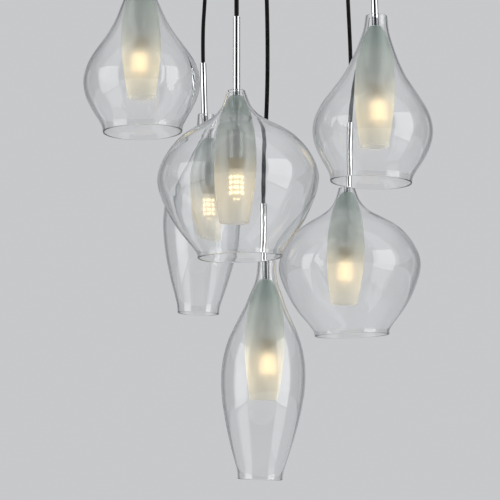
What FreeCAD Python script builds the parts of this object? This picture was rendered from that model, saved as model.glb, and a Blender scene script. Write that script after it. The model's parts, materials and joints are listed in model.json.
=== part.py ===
"""Cluster pendant: six glass pendants that hang on cords from one round canopy.

Millimetres, +Z up. The origin is in the ceiling plane, at the middle of the canopy and of the two
ceiling screws. +X runs along the bracket, and -Y is the side that the pendants are seen from.

Each pendant's own pieces are drawn about its datum: the middle of the diffuser's top edge.
"""

import FreeCAD
import Part
import Sketcher
import math
import operator
import os
import types
from FreeCAD import Placement, Rotation, Vector

SIZES = {
    # canopy: a shallow cup against the ceiling
    "canopy_diameter": 350,
    "canopy_depth": 30,
    "canopy_wall": 1.2,
    "canopy_corner": 4,
    "ceiling_gap": 0.5,
    # bracket: a folded strip on the ceiling, with an ear at each end for a canopy screw
    "bracket_width": 36,
    "bracket_thickness": 2.5,
    "bracket_half_length": 171.5,
    "ear_drop": 22,
    "slot_spacing": 200,
    "slot_length": 14,
    "slot_width": 5,
    "supply_hole_diameter": 16,
    "supply_hole_offset": -40,
    # canopy screws, from the side into the ears
    "screw_diameter": 4,
    "screw_length": 14,
    "screw_head_diameter": 9,
    "screw_head_height": 5,
    "screw_clearance": 0.05,
    "screw_depth": 12,
    # terminal block under the bracket
    "block_length": 60,
    "block_width": 18,
    "block_height": 14,
    "block_start": 20,
    "block_screw_diameter": 3.4,
    "block_screw_depth": 3,
    # cord grips in the canopy's face, and their nuts
    "grip_flange_diameter": 18,
    "grip_flange_height": 3,
    "grip_body_diameter": 14,
    "grip_length": 15,
    "grip_thread_diameter": 10,
    "grip_thread_length": 8,
    "grip_bore_diameter": 6.4,
    "grip_mouth_diameter": 10.4,
    "grip_mouth_depth": 6,
    "grip_chamfer": 1,
    "grip_fit": 0.1,
    "nut_diameter": 15,
    "nut_height": 3.5,
    # cords and the leads inside the canopy
    "cord_diameter": 5,
    "cord_in_stem": 12,
    "lead_diameter": 3.4,
    "lead_level": 9.5,
    "lead_gap": 1,
    "lead_approach": 16,
    # the ring of pendants: the first bearing is from +X, and the steps are even
    "ring_radius": 148,
    "first_bearing": -100,
    "bearing_step": 72,
    # each pendant: drop of its datum below the ceiling, sway of the datum to the side of its grip,
    # and the leans, in degrees, of its metal core, its diffuser and its shade (bottom towards +X)
    "drop_1": 236,
    "drop_2": 387.5,
    "drop_3": 404,
    "drop_4": 592,
    "drop_5": 304.5,
    "drop_6": 471,
    "sway_1": 1.9,
    "sway_2": -6.8,
    "sway_3": -3.2,
    "sway_4": 4.7,
    "sway_5": 0.6,
    "sway_6": 1.3,
    "core_lean_1": 0,
    "core_lean_2": 1.7,
    "core_lean_3": 0,
    "core_lean_4": 1.2,
    "core_lean_5": 1.2,
    "core_lean_6": -1.9,
    "diffuser_lean_1": 1.0,
    "diffuser_lean_2": 0.5,
    "diffuser_lean_3": -1.0,
    "diffuser_lean_4": -1.1,
    "diffuser_lean_5": -1.1,
    "diffuser_lean_6": -1.9,
    "shade_lean_1": 1.4,
    "shade_lean_2": -2.0,
    "shade_lean_3": 1.4,
    "shade_lean_4": -1.9,
    "shade_lean_5": -2.4,
    "shade_lean_6": 1.6,
    # stem tube
    "stem_diameter": 8,
    "stem_bore": 5.5,
    "stem_rise": 90,
    "stem_foot": 8.6,
    # neck cup under the diffuser's top, from its top edge down
    "neck_cup_top": 2.9,
    "neck_cup_throat_radius": 5.2,
    "neck_cup_crown": 5.5,
    "neck_cup_crown_diameter": 13.1,
    "neck_cup_shoulder": 8,
    "neck_cup_shoulder_diameter": 15.2,
    "neck_cup_waist": 12,
    "neck_cup_foot": 16,
    "neck_cup_diameter": 16,
    "neck_cup_floor": 9,
    "neck_cup_socket": 13,
    "wire_hole_diameter": 6,
    "core_fit": 0.1,
    # sleeve
    "sleeve_diameter": 10.5,
    "sleeve_bore": 8.5,
    # lamp cup and its set screw
    "lamp_cup_top": 38,
    "lamp_cup_foot": 70,
    "lamp_cup_diameter": 21,
    "lamp_cup_wall": 1.2,
    "lamp_cup_plate": 1.6,
    "lamp_cup_shoulder": 1.8,
    "set_screw_depth": 58,
    "set_screw_diameter": 3,
    "set_screw_head_diameter": 4,
    "set_screw_head_height": 1.4,
    "set_screw_bearing": -60,
    # ceramic socket and its wires
    "socket_top": 46,
    "socket_foot": 82,
    "socket_neck_diameter": 18,
    "socket_skirt_diameter": 20,
    "socket_foot_diameter": 15.6,
    "socket_skirt_gap": 0.3,
    "pin_spacing": 9,
    "pin_diameter": 2.2,
    "pin_length": 13,
    "pin_hole_diameter": 3.2,
    "pin_hole_length": 14,
    "wire_diameter": 1.6,
    "wire_spacing": 2.2,
    "wire_gap": 0.5,
    # capsule lamp
    "lamp_gap": 0.3,
    "lamp_collar_diameter": 16,
    "lamp_collar_height": 4,
    "lamp_column_diameter": 15.6,
    "lamp_column_height": 26.5,
    "lamp_tip_diameter": 11,
    "lamp_tip_height": 1.2,
    # blown glass: walls, the diffuser's top hole, and how far each shade's rim stands above the
    # datum and how deep below it the shade rests
    "shade_wall": 1.9,
    "diffuser_wall": 2,
    "globe_rise": 5.6,
    "drop_rise": 12,
    "slim_rise": 21.8,
    "globe_seat": 12,
    "drop_seat": 20,
    "slim_seat": 20,
}

# outer outlines of the blown glass, from the top rim down: depth below the rim, radius
GLASS_OUTLINES = {
    "globe": [
        (0, 10.2), (8, 12.7), (16, 15.9), (26.7, 24.2), (38.7, 42.7), (50.6, 61.5), (73, 80.4),
        (98.5, 88.5), (120, 83.4), (143.6, 72.4), (165, 57), (176, 48.6), (180, 46.7), (184, 46.3),
    ],
    "drop": [
        (0, 12.6), (14.8, 14.4), (29.4, 18.6), (51.5, 27), (73.6, 38.2), (95.6, 53.3),
        (112, 63.3), (134, 69), (154.4, 65.2), (172, 56.2), (184, 49.2), (189, 47.3), (194, 46.9),
    ],
    "slim": [
        (0, 10.8), (12, 11.3), (24, 13.2), (35, 17.2), (46, 21.4), (58, 26.2), (72, 33), (92.4, 41.8),
        (128, 49), (164, 47.2), (200, 39.9), (236, 29.6), (246, 26.9), (254, 26.2),
    ],
    "diffuser": [
        (0, 6.2), (1, 7.6), (3, 9), (6, 10.5), (10, 12.4), (21.6, 16.8), (36, 20.2), (55, 22.7),
        (70, 23.5), (85, 23.3), (105, 21.5), (140, 16.5),
    ],
}

# which shade each pendant has, and its place: a step round the ring, or None for the middle
PENDANTS = {
    1: {"shade": "drop", "step": 4},
    2: {"shade": "slim", "step": 3},
    3: {"shade": "globe", "step": 0},
    4: {"shade": "slim", "step": None},
    5: {"shade": "drop", "step": 1},
    6: {"shade": "globe", "step": 2},
}

# each cord's bends between its grip and its stem, chosen by hand: offset to the side of the grip,
# offset to the back, and depth below the ceiling
CORD_BENDS = {
    1: [(0.4, 0.0, 70), (1.5, 0.3, 103), (1.9, 0.0, 131)],
    2: [(-1.0, 0.2, 92), (-4.2, 0.8, 150), (-7.4, 0.7, 212), (-10.5, 0.0, 263)],
    3: [(-0.6, 0.0, 95), (-2.6, 0.5, 160), (-3.8, 0.4, 226), (-3.2, 0.0, 284)],
    4: [(0.7, 0.0, 100), (3.6, 0.6, 180), (6.8, 0.9, 262), (7.3, 0.5, 345), (4.9, 0.2, 412),
        (2.1, 0.0, 468)],
    5: [(0.5, 0.0, 85), (-0.2, 0.4, 136), (-1.9, 0.0, 185)],
    6: [(0.5, 0.0, 100), (2.1, 0.3, 163), (4.4, 0.7, 226), (6.8, 0.5, 284), (7.4, 0.2, 326),
        (5.0, 0.0, 362)],
}

# where each inner lead ends along the terminal block, and on which of its sides (-1 front, 1 back);
# the middle pendant's lead goes into the block's end
LEAD_ENDS = {1: (30, -1), 2: (35, 1), 3: (50, -1), 5: (70, -1), 6: (65, 1)}

# how much of the shorter run beside a corner the arc round it takes
ARC_SHARE = 0.45

OPERATORS = {"+": operator.add, "-": operator.sub, "*": operator.mul, "/": operator.truediv}


class Size:
    """A number together with the sheet expression that gives it."""

    def __init__(self, number, text):
        self.number = number
        self.text = text

    def __add__(self, other):
        return joined(self, "+", other)

    def __radd__(self, other):
        return joined(other, "+", self)

    def __sub__(self, other):
        return joined(self, "-", other)

    def __rsub__(self, other):
        return joined(other, "-", self)

    def __mul__(self, other):
        return joined(self, "*", other)

    def __truediv__(self, other):
        return joined(self, "/", other)

    def __neg__(self):
        return Size(-self.number, f"-({self.text})")


def as_size(value):
    """A plain number is a size too."""
    if isinstance(value, Size):
        return value
    return Size(float(value), str(float(value)))


def joined(left, sign, right):
    """Two sizes joined by an arithmetic sign."""
    left, right = as_size(left), as_size(right)
    return Size(OPERATORS[sign](left.number, right.number), f"({left.text} {sign} {right.text})")


def cosine(angle):
    """Cosine of a size in degrees."""
    return Size(math.cos(math.radians(angle.number)), f"cos({angle.text} * 1deg)")


def sine(angle):
    """Sine of a size in degrees."""
    return Size(math.sin(math.radians(angle.number)), f"sin({angle.text} * 1deg)")


doc = FreeCAD.newDocument("cluster_pendant")
sheet = doc.addObject("Spreadsheet::Sheet", "sizes")
for row, (alias, number) in enumerate(SIZES.items(), start=1):
    sheet.set(f"A{row}", alias.replace("_", " "))
    sheet.set(f"B{row}", str(number))
    sheet.setAlias(f"B{row}", alias)
doc.recompute()

size = types.SimpleNamespace(**{alias: Size(sheet.get(alias), f"sizes.{alias}") for alias in SIZES})
sub_parts = []


# ---------------------------------------------------------------- sketches, bodies and places


def new_sketch(body, plane_role, name):
    """A sketch on one of the body's own origin planes."""
    plane = next(item for item in body.Origin.OriginFeatures if item.Role == plane_role)
    sketch = body.newObject("Sketcher::SketchObject", name)
    sketch.AttachmentSupport = (plane, [""])
    sketch.MapMode = "FlatFace"
    return sketch


def hold(sketch, kind, geometry, point, distance):
    """Fix one coordinate of a sketch point, DistanceX or DistanceY from the sketch's origin."""
    distance = as_size(distance)
    if distance.number == 0:
        axis = -2 if kind == "DistanceX" else -1
        sketch.addConstraint(Sketcher.Constraint("PointOnObject", geometry, point, axis))
        return
    if distance.number > 0:
        ends = (-1, 1, geometry, point)
        text = distance.text
    else:
        ends = (geometry, point, -1, 1)
        text = (-distance).text
    index = sketch.addConstraint(Sketcher.Constraint(kind, *ends, abs(distance.number)))
    sketch.setExpression(f"Constraints[{index}]", text)


def draw_outline(sketch, corners):
    """A closed outline of straight lines through the corners, each held by its two coordinates."""
    corners = [(as_size(across), as_size(up)) for across, up in corners]
    ends = [Vector(across.number, up.number, 0) for across, up in corners]
    for start, end in zip(ends, ends[1:] + ends[:1]):
        sketch.addGeometry(Part.LineSegment(start, end), False)
    for line in range(len(corners)):
        following = (line + 1) % len(corners)
        sketch.addConstraint(Sketcher.Constraint("Coincident", line, 2, following, 1))
    for line, (across, up) in enumerate(corners):
        hold(sketch, "DistanceX", line, 1, across)
        hold(sketch, "DistanceY", line, 1, up)


def draw_circle(sketch, across, up, diameter):
    """A circle held by its middle and its diameter."""
    across, up = as_size(across), as_size(up)
    middle = Vector(across.number, up.number, 0)
    round_edge = Part.Circle(middle, Vector(0, 0, 1), diameter.number / 2)
    circle = sketch.addGeometry(round_edge, False)
    hold(sketch, "DistanceX", circle, 3, across)
    hold(sketch, "DistanceY", circle, 3, up)
    index = sketch.addConstraint(Sketcher.Constraint("Diameter", circle, diameter.number))
    sketch.setExpression(f"Constraints[{index}]", diameter.text)


def draw_slot(sketch, across, length, width):
    """A slot along the sketch's X axis: two half circles joined by two tangent lines."""
    half_run = (length.number - width.number) / 2
    radius = width.number / 2
    right, left = across.number + half_run, across.number - half_run
    upright = Vector(0, 0, 1)
    quarter = math.pi / 2
    right_end = Part.Circle(Vector(right, 0, 0), upright, radius)
    left_end = Part.Circle(Vector(left, 0, 0), upright, radius)
    right_arc = sketch.addGeometry(Part.ArcOfCircle(right_end, -quarter, quarter), False)
    left_arc = sketch.addGeometry(Part.ArcOfCircle(left_end, quarter, 3 * quarter), False)
    top = Part.LineSegment(Vector(right, radius, 0), Vector(left, radius, 0))
    foot = Part.LineSegment(Vector(left, -radius, 0), Vector(right, -radius, 0))
    top_line = sketch.addGeometry(top, False)
    foot_line = sketch.addGeometry(foot, False)
    for ends in (
        (right_arc, 2, top_line, 1),
        (top_line, 2, left_arc, 1),
        (left_arc, 2, foot_line, 1),
        (foot_line, 2, right_arc, 1),
    ):
        sketch.addConstraint(Sketcher.Constraint("Tangent", *ends))
    sketch.addConstraint(Sketcher.Constraint("Equal", right_arc, left_arc))
    hold(sketch, "DistanceX", right_arc, 3, across + (length - width) / 2)
    hold(sketch, "DistanceY", right_arc, 3, 0)
    hold(sketch, "DistanceX", left_arc, 3, across - (length - width) / 2)
    index = sketch.addConstraint(Sketcher.Constraint("Radius", right_arc, radius))
    sketch.setExpression(f"Constraints[{index}]", (width / 2).text)


def new_body(name):
    """An empty body."""
    body = doc.addObject("PartDesign::Body", name)
    body.Label = name
    return body


def turned_body(name, corners):
    """A body turned about Z from half of its section: radius and height of each corner."""
    body = new_body(name)
    sketch = new_sketch(body, "XZ_Plane", f"{name}_section")
    draw_outline(sketch, corners)
    turn = body.newObject("PartDesign::Revolution", f"{name}_turn")
    turn.Profile = sketch
    turn.ReferenceAxis = (sketch, ["V_Axis"])
    turn.Angle = 360
    return body


def through_hole(body, sketch, name, both_ways=False):
    """A pocket through everything that the sketch meets."""
    pocket = body.newObject("PartDesign::Pocket", name)
    pocket.Profile = sketch
    pocket.Type = "ThroughAll"
    if both_ways:
        pocket.SideType = "Symmetric"
    return pocket


def place(item, across, back, up, rotation=Rotation()):
    """Put an object at three bound coordinates, turned by the rotation."""
    coordinates = [as_size(value) for value in (across, back, up)]
    item.Placement = Placement(Vector(*[value.number for value in coordinates]), rotation)
    for axis, value in zip("xyz", coordinates):
        item.setExpression(f"Placement.Base.{axis}", value.text)


def cylinder(name, diameter, height, across=0, back=0, up=0, rotation=Rotation()):
    """A cylinder with bound sizes and place, up from its foot."""
    item = doc.addObject("Part::Cylinder", name)
    item.setExpression("Radius", (diameter / 2).text)
    item.setExpression("Height", height.text)
    place(item, across, back, up, rotation)
    return item


def cut(name, base, tool):
    """The base less the tool."""
    item = doc.addObject("Part::Cut", name)
    item.Base = base
    item.Tool = tool
    return item


def fused(name, items):
    """Several solids made one."""
    item = doc.addObject("Part::MultiFuse", name)
    item.Shapes = items
    return item


def group(name, items):
    """Several separate solids kept in one sub-part."""
    item = doc.addObject("Part::Compound", name)
    item.Links = items
    return item


def sub_part(item, name):
    """Name a finished sub-part, so that it is checked and written."""
    item.Label = name
    sub_parts.append(item)
    return item


def lean(degrees):
    """A rotation in the XZ plane that takes the bottom towards +X."""
    return Rotation(Vector(0, 1, 0), -degrees)


# ---------------------------------------------------------------- where the pendants hang


def grip_place(number):
    """X and Y of a pendant's cord grip."""
    step = PENDANTS[number]["step"]
    if step is None:
        return as_size(0), as_size(0)
    bearing = size.first_bearing + size.bearing_step * step
    return size.ring_radius * cosine(bearing), size.ring_radius * sine(bearing)


def datum(number):
    """X, Y and Z of the middle of the diffuser's top edge."""
    across, back = grip_place(number)
    sway = getattr(size, f"sway_{number}")
    return across + sway, back, -getattr(size, f"drop_{number}")


def core_rotation(number):
    """The lean of the stem and of all the metal below it."""
    return lean(getattr(size, f"core_lean_{number}").number)


def place_core(item, number):
    """Put a piece of the stem's line at its pendant's datum."""
    place(item, *datum(number), core_rotation(number))


# ---------------------------------------------------------------- canopy and what is in it


def canopy_cover():
    """A spun cup with a hole for each cord grip and one at each end for a canopy screw."""
    body = new_body("canopy_cover")
    outer = size.canopy_diameter / 2
    inner = outer - size.canopy_wall
    floor = -size.canopy_depth
    sketch = new_sketch(body, "XZ_Plane", "canopy_section")
    draw_outline(
        sketch,
        [
            (0, floor),
            (outer, floor),
            (outer, -size.ceiling_gap),
            (inner, -size.ceiling_gap),
            (inner, floor + size.canopy_wall),
            (0, floor + size.canopy_wall),
        ],
    )
    turn = body.newObject("PartDesign::Revolution", "canopy_turn")
    turn.Profile = sketch
    turn.ReferenceAxis = (sketch, ["V_Axis"])
    turn.Angle = 360
    doc.recompute()

    inner_corner = size.canopy_corner - size.canopy_wall
    corners = (("outer", outer, floor, size.canopy_corner),
               ("inner", inner, floor + size.canopy_wall, inner_corner))
    base = turn
    for name, radius, level, rounding in corners:
        edges = [
            f"Edge{index}"
            for index, edge in enumerate(base.Shape.Edges, start=1)
            if isinstance(edge.Curve, Part.Circle)
            and abs(edge.Curve.Radius - radius.number) < 0.01
            and abs(edge.Curve.Center.z - level.number) < 0.01
        ]
        fillet = body.newObject("PartDesign::Fillet", f"canopy_{name}_corner")
        fillet.Base = (base, edges)
        fillet.setExpression("Radius", rounding.text)
        doc.recompute()
        base = fillet

    hole_diameter = size.grip_thread_diameter + size.grip_fit * 2
    ring_sketch = new_sketch(body, "XY_Plane", "canopy_ring_hole")
    first_across, first_back = grip_place(3)
    draw_circle(ring_sketch, first_across, first_back, hole_diameter)
    ring_hole = through_hole(body, ring_sketch, "canopy_ring_cut")
    ring_of_holes = body.newObject("PartDesign::PolarPattern", "canopy_ring_cuts")
    ring_of_holes.Originals = [ring_hole]
    z_axis = next(item for item in body.Origin.OriginFeatures if item.Role == "Z_Axis")
    ring_of_holes.Axis = (z_axis, [""])
    ring_of_holes.Angle = 360
    ring_of_holes.Occurrences = sum(item["step"] is not None for item in PENDANTS.values())
    body.Tip = ring_of_holes
    doc.recompute()

    middle_sketch = new_sketch(body, "XY_Plane", "canopy_middle_hole")
    draw_circle(middle_sketch, 0, 0, hole_diameter)
    through_hole(body, middle_sketch, "canopy_middle_cut")
    side_sketch = new_sketch(body, "YZ_Plane", "canopy_side_hole")
    draw_circle(side_sketch, 0, -size.screw_depth, size.screw_diameter + size.screw_clearance * 2)
    body.Tip = through_hole(body, side_sketch, "canopy_side_cut", both_ways=True)
    sub_part(body, "canopy_cover")


def ceiling_bracket():
    """A strip with folded ears, two slots for the ceiling screws and a hole for the supply."""
    body = new_body("ceiling_bracket")
    reach = size.bracket_half_length
    inside = reach - size.bracket_thickness
    sketch = new_sketch(body, "XZ_Plane", "bracket_profile")
    draw_outline(
        sketch,
        [
            (-reach, 0),
            (-reach, -size.ear_drop),
            (-inside, -size.ear_drop),
            (-inside, -size.bracket_thickness),
            (inside, -size.bracket_thickness),
            (inside, -size.ear_drop),
            (reach, -size.ear_drop),
            (reach, 0),
        ],
    )
    strip = body.newObject("PartDesign::Pad", "bracket_strip")
    strip.Profile = sketch
    strip.SideType = "Symmetric"
    strip.setExpression("Length", size.bracket_width.text)
    doc.recompute()

    slots = new_sketch(body, "XY_Plane", "ceiling_slots")
    draw_slot(slots, size.slot_spacing / 2, size.slot_length, size.slot_width)
    through_hole(body, slots, "ceiling_slot_cut")
    far_slot = new_sketch(body, "XY_Plane", "far_ceiling_slot")
    draw_slot(far_slot, -size.slot_spacing / 2, size.slot_length, size.slot_width)
    through_hole(body, far_slot, "far_ceiling_slot_cut")
    supply = new_sketch(body, "XY_Plane", "supply_hole")
    draw_circle(supply, size.supply_hole_offset, 0, size.supply_hole_diameter)
    through_hole(body, supply, "supply_hole_cut")
    ears = new_sketch(body, "YZ_Plane", "ear_holes")
    draw_circle(ears, 0, -size.screw_depth, size.screw_diameter + size.screw_clearance * 2)
    body.Tip = through_hole(body, ears, "ear_hole_cut", both_ways=True)
    sub_part(body, "ceiling_bracket")


def canopy_screws():
    """Two knurled screws, one through each side of the canopy into an ear."""
    screws = []
    wall = size.canopy_diameter / 2
    for name, side in (("right", 1), ("left", -1)):
        inwards = Rotation(Vector(0, 0, 1), Vector(-side, 0, 0))
        outwards = Rotation(Vector(0, 0, 1), Vector(side, 0, 0))
        shank = cylinder(
            f"{name}_screw_shank",
            size.screw_diameter,
            size.screw_length,
            (wall + size.screw_clearance) * side,
            0,
            -size.screw_depth,
            inwards,
        )
        head = cylinder(
            f"{name}_screw_head",
            size.screw_head_diameter,
            size.screw_head_height,
            (wall + size.screw_clearance) * side,
            0,
            -size.screw_depth,
            outwards,
        )
        screws.append(fused(f"{name}_canopy_screw", [shank, head]))
    sub_part(group("canopy_screws_group", screws), "canopy_screws")


def terminal_block():
    """A block under the bracket, with a row of clamp screws' wells in its underside."""
    box = doc.addObject("Part::Box", "terminal_box")
    box.setExpression("Length", size.block_length.text)
    box.setExpression("Width", size.block_width.text)
    box.setExpression("Height", size.block_height.text)
    foot = -(size.bracket_thickness + size.block_height)
    place(box, size.block_start, -(size.block_width / 2), foot)
    wells = []
    well_count = 6
    for row in (-1, 1):
        for index in range(well_count):
            across = size.block_start + size.block_length * ((index + 0.5) / well_count)
            well = cylinder(
                f"terminal_well_{'front' if row < 0 else 'back'}_{index + 1}",
                size.block_screw_diameter,
                size.block_screw_depth,
                across,
                size.block_width / 4 * row,
                foot,
            )
            wells.append(well)
    block = cut("terminal_block_cut", box, fused("terminal_wells", wells))
    sub_part(block, "terminal_block")


def cord_grips():
    """Six bell-mouthed grips through the canopy's face, each with its nut inside."""
    pieces = []
    bore = size.grip_bore_diameter / 2
    thread = size.grip_thread_diameter / 2
    face = -size.canopy_depth
    for number in PENDANTS:
        grip = turned_body(
            f"grip_{number}",
            [
                (bore, size.grip_thread_length),
                (bore, size.grip_mouth_depth - size.grip_length),
                (size.grip_mouth_diameter / 2, -size.grip_length),
                (size.grip_body_diameter / 2 - size.grip_chamfer, -size.grip_length),
                (size.grip_body_diameter / 2, size.grip_chamfer - size.grip_length),
                (size.grip_body_diameter / 2, -size.grip_flange_height),
                (size.grip_flange_diameter / 2, size.grip_chamfer - size.grip_flange_height),
                (size.grip_flange_diameter / 2, 0),
                (thread, 0),
                (thread, size.grip_thread_length),
            ],
        )
        nut = turned_body(
            f"grip_nut_{number}",
            [
                (thread + size.grip_fit, size.canopy_wall),
                (size.nut_diameter / 2, size.canopy_wall),
                (size.nut_diameter / 2, size.canopy_wall + size.nut_height),
                (thread + size.grip_fit, size.canopy_wall + size.nut_height),
            ],
        )
        across, back = grip_place(number)
        for piece in (grip, nut):
            place(piece, across, back, face)
            pieces.append(piece)
    sub_part(group("cord_grips_group", pieces), "cord_grips")


# ---------------------------------------------------------------- cords and leads


def tube_along(name, points, diameter):
    """A round tube along straight runs joined by tangent arcs, each as large as its runs allow."""
    edges = []
    radii = []
    start = points[0]
    for before, corner, after in zip(points, points[1:], points[2:]):
        inwards = (corner - before).normalize()
        outwards = (after - corner).normalize()
        half_turn = inwards.getAngle(outwards) / 2
        reach = ARC_SHARE * min(before.distanceToPoint(corner), corner.distanceToPoint(after))
        radius = reach / math.tan(half_turn)
        radii.append(radius)
        arc_start = corner - inwards * reach
        arc_end = corner + outwards * reach
        towards_middle = (outwards - inwards).normalize()
        middle = corner + towards_middle * (radius / math.cos(half_turn) - radius)
        edges.append(Part.LineSegment(start, arc_start).toShape())
        edges.append(Part.Arc(arc_start, middle, arc_end).toShape())
        start = arc_end
    edges.append(Part.LineSegment(start, points[-1]).toShape())
    length = sum(edge.Length for edge in edges)
    path = Part.Wire(edges)
    ring = Part.Circle(points[0], points[1] - points[0], diameter / 2).toShape()
    tube = path.makePipeShell([Part.Wire([ring])], True, False)
    section = math.pi * diameter**2 / 4
    print(
        f"{name}: {length:.1f} mm, volume {tube.Volume / (section * length):.4f} of section x length,"
        f" least radius {min(radii):.0f} mm"
    )
    return tube


def cord_points(number):
    """A cord's route: out of its grip, its bends, and down the line of the stem into its bore."""
    across, back = grip_place(number)
    grip_mouth = size.grip_length - size.grip_mouth_depth
    start = Vector(across.number, back.number, -(size.canopy_depth + grip_mouth).number)
    bends = [
        Vector(across.number + side, back.number + behind, -depth)
        for side, behind, depth in CORD_BENDS[number]
    ]
    in_bore = Vector(0, 0, (size.stem_rise - size.cord_in_stem).number)
    middle = Vector(*[value.number for value in datum(number)])
    end = middle + core_rotation(number).multVec(in_bore)
    return [start, *bends, end]


def cord(number):
    """The black cord, from its grip into the top of the stem."""
    item = doc.addObject("Part::Feature", f"cord_{number}")
    item.Shape = tube_along(f"cord_{number}", cord_points(number), size.cord_diameter.number)
    sub_part(item, f"cord_{number}")


def inner_leads():
    """One lead from each grip to the terminal block, inside the canopy."""
    leads = []
    level = -size.lead_level.number
    block_side = size.block_width.number / 2
    for number in PENDANTS:
        start = cord_points(number)[0] + Vector(0, 0, size.lead_gap.number)
        above = Vector(start.x, start.y, level)
        if number in LEAD_ENDS:
            end_across, side = LEAD_ENDS[number]
            end = Vector(end_across, side * block_side, level)
            approach = end + Vector(0, side * size.lead_approach.number, 0)
            points = [start, above, approach, end]
        else:
            points = [start, above, Vector(size.block_start.number, 0, level)]
        lead = doc.addObject("Part::Feature", f"inner_lead_{number}")
        lead.Shape = tube_along(f"inner_lead_{number}", points, size.lead_diameter.number)
        leads.append(lead)
    sub_part(group("inner_leads_group", leads), "inner_leads")


# ---------------------------------------------------------------- blown glass


def blown_glass(outline, wall, rise):
    """A glass of even wall, turned from a smooth outline, with rounded rims."""
    outer_points = [Vector(radius, 0, rise - depth) for depth, radius in outline]
    outer = Part.BSplineCurve()
    outer.interpolate(outer_points)
    inner_points = []
    for point in outer_points:
        along = outer.tangent(outer.parameter(point))[0]
        inwards = Vector(along.z, 0, -along.x)
        inner_points.append(point + inwards * wall)
    inner = Part.BSplineCurve()
    inner.interpolate(inner_points[::-1])
    top_along = outer.tangent(outer.FirstParameter)[0]
    foot_along = outer.tangent(outer.LastParameter)[0]
    top_crown = (outer_points[0] + inner_points[0]) / 2 - top_along * wall / 2
    foot_crown = (outer_points[-1] + inner_points[-1]) / 2 + foot_along * wall / 2
    foot_rim = Part.Arc(outer_points[-1], foot_crown, inner_points[-1])
    top_rim = Part.Arc(inner_points[0], top_crown, outer_points[0])
    section = Part.Wire([curve.toShape() for curve in (outer, foot_rim, inner, top_rim)])
    return Part.Face(section).revolve(Vector(0, 0, 0), Vector(0, 0, 1), 360)


def shade(number):
    """The clear outer shade, leaning a little where its neck rests on the diffuser."""
    kind = PENDANTS[number]["shade"]
    rise = getattr(size, f"{kind}_rise").number
    seat = Vector(0, 0, -getattr(size, f"{kind}_seat").number)
    tilt = lean(getattr(size, f"shade_lean_{number}").number)
    middle = Vector(*[value.number for value in datum(number)])
    item = doc.addObject("Part::Feature", f"shade_{number}")
    item.Shape = blown_glass(GLASS_OUTLINES[kind], size.shade_wall.number, rise)
    item.Placement = Placement(middle + seat - tilt.multVec(seat), tilt)
    sub_part(item, f"shade_{number}")


def diffuser(number):
    """The frosted inner glass, hung by its top hole on the neck cup."""
    item = doc.addObject("Part::Feature", f"diffuser_{number}")
    item.Shape = blown_glass(GLASS_OUTLINES["diffuser"], size.diffuser_wall.number, 0)
    tilt = lean(getattr(size, f"diffuser_lean_{number}").number)
    item.Placement = Placement(Vector(*[value.number for value in datum(number)]), tilt)
    sub_part(item, f"diffuser_{number}")


# ---------------------------------------------------------------- the metal core of a pendant


def stem(number):
    """The thin tube that the cord goes into, down to the floor of the neck cup."""
    body = turned_body(
        f"stem_{number}",
        [
            (size.stem_bore / 2, -size.stem_foot),
            (size.stem_diameter / 2, -size.stem_foot),
            (size.stem_diameter / 2, size.stem_rise),
            (size.stem_bore / 2, size.stem_rise),
        ],
    )
    place_core(body, number)
    sub_part(body, f"stem_{number}")


def neck_cup(number):
    """A domed cup that holds the stem's foot, the diffuser's top and the sleeve's head."""
    stem_hole = size.stem_diameter / 2 + size.core_fit
    wire_hole = size.wire_hole_diameter / 2
    sleeve_hole = size.sleeve_diameter / 2 + size.core_fit
    outer = size.neck_cup_diameter / 2
    body = turned_body(
        f"neck_cup_{number}",
        [
            (stem_hole, -size.neck_cup_top),
            (size.neck_cup_throat_radius, -size.neck_cup_top),
            (size.neck_cup_crown_diameter / 2, -size.neck_cup_crown),
            (size.neck_cup_shoulder_diameter / 2, -size.neck_cup_shoulder),
            (outer, -size.neck_cup_waist),
            (outer, -size.neck_cup_foot),
            (sleeve_hole, -size.neck_cup_foot),
            (sleeve_hole, -size.neck_cup_socket),
            (wire_hole, -size.neck_cup_socket),
            (wire_hole, -size.neck_cup_floor),
            (stem_hole, -size.neck_cup_floor),
        ],
    )
    place_core(body, number)
    sub_part(body, f"neck_cup_{number}")


def sleeve(number):
    """The thin tube between the neck cup and the lamp cup."""
    head = -(size.neck_cup_socket + size.core_fit)
    foot = -(size.lamp_cup_top + size.lamp_cup_plate)
    body = turned_body(
        f"sleeve_{number}",
        [
            (size.sleeve_bore / 2, foot),
            (size.sleeve_diameter / 2, foot),
            (size.sleeve_diameter / 2, head),
            (size.sleeve_bore / 2, head),
        ],
    )
    place_core(body, number)
    sub_part(body, f"sleeve_{number}")


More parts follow.
